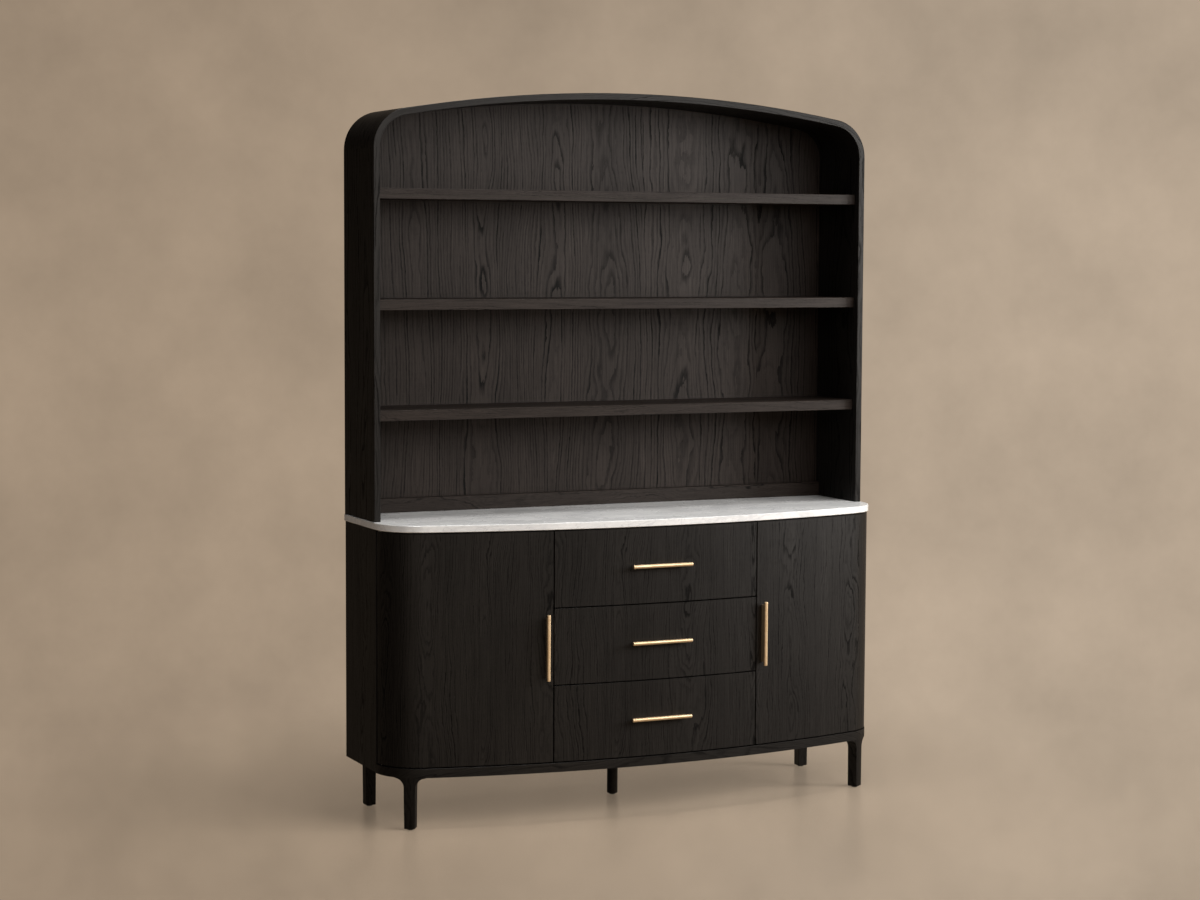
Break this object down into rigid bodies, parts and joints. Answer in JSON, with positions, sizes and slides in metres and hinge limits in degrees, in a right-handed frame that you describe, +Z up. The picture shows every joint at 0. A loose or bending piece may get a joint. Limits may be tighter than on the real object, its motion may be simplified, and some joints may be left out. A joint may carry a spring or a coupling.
{
  "type": "hutch",
  "caption": "Bow-front sideboard with a stone top, curved doors and a stack of drawers, carrying an open shelf hutch under a shallow arch.",
  "frame": {"origin": "on the floor, under the middle of the piece's bounding box", "axes": "+X towards the right-hand door seen from the front, +Y towards the wall, +Z up"},
  "size_m": [1.682, 0.5274, 2.21],
  "materials": {
    "dark_wood": "black-stained open-grain oak, satin lacquer",
    "pale_wood": "clear-lacquered beech and birch",
    "marble": "honed white marble with grey veins",
    "brass": "brushed satin brass",
    "steel": "zinc-plated",
    "dark_nylon": "matt black"
  },
  "bodies": {
    "case": {"hutch_side_left": "dark_wood", "hutch_side_right": "dark_wood", "hutch_arch_top": "dark_wood", "hutch_back_panel": "dark_wood", "hutch_back_rail": "dark_wood", "hutch_shelf_lower": "dark_wood", "hutch_shelf_middle": "dark_wood", "hutch_shelf_upper": "dark_wood", "base_deck": "dark_wood", "base_side_left": "dark_wood", "base_side_right": "dark_wood", "base_back_panel": "dark_wood", "base_sub_top": "dark_wood", "partition_left": "dark_wood", "partition_right": "dark_wood", "cabinet_shelf_left": "dark_wood", "cabinet_shelf_right": "dark_wood", "leg_front_left": "dark_wood", "leg_front_right": "dark_wood", "leg_rear_left": "dark_wood", "leg_rear_right": "dark_wood", "leg_centre": "dark_wood", "marble_top": "marble", "leg_glides": "dark_nylon", "door_catches": "dark_nylon", "leg_bolts": "steel", "hutch_tie_plates": "steel", "shelf_pins": "steel", "door_pivot_plates": "steel", "drawer_slide_rails": "steel", "hutch_dowels": "pale_wood"},
    "door_left": {"door_left": "dark_wood", "door_left_pivot_pins": "steel", "door_left_strike": "steel", "door_left_handle": "brass"},
    "door_right": {"door_right": "dark_wood", "door_right_pivot_pins": "steel", "door_right_strike": "steel", "door_right_handle": "brass"},
    "drawer_lower": {"drawer_lower_front": "dark_wood", "drawer_lower_side_left": "pale_wood", "drawer_lower_side_right": "pale_wood", "drawer_lower_back": "pale_wood", "drawer_lower_bottom": "pale_wood", "drawer_lower_slide_members": "steel", "drawer_lower_handle": "brass"},
    "drawer_middle": {"drawer_middle_front": "dark_wood", "drawer_middle_side_left": "pale_wood", "drawer_middle_side_right": "pale_wood", "drawer_middle_back": "pale_wood", "drawer_middle_bottom": "pale_wood", "drawer_middle_slide_members": "steel", "drawer_middle_handle": "brass"},
    "drawer_upper": {"drawer_upper_front": "dark_wood", "drawer_upper_side_left": "pale_wood", "drawer_upper_side_right": "pale_wood", "drawer_upper_back": "pale_wood", "drawer_upper_bottom": "pale_wood", "drawer_upper_slide_members": "steel", "drawer_upper_handle": "brass"}
  },
  "joints": [
    {"name": "door_left_hinge", "type": "hinge", "parent": "case", "child": "door_left", "pos_m": [-0.82471, -0.02625, 0.5392], "axis": [0, 0, 1], "range_deg": [-95, 0]},
    {"name": "door_right_hinge", "type": "hinge", "parent": "case", "child": "door_right", "pos_m": [0.82471, -0.02625, 0.5392], "axis": [0, 0, 1], "range_deg": [0, 95]},
    {"name": "drawer_lower_slide", "type": "slide", "parent": "case", "child": "drawer_lower", "axis": [0, -1, 0], "range_m": [0, 0.3]},
    {"name": "drawer_middle_slide", "type": "slide", "parent": "case", "child": "drawer_middle", "axis": [0, -1, 0], "range_m": [0, 0.3]},
    {"name": "drawer_upper_slide", "type": "slide", "parent": "case", "child": "drawer_upper", "axis": [0, -1, 0], "range_m": [0, 0.3]}
  ]
}
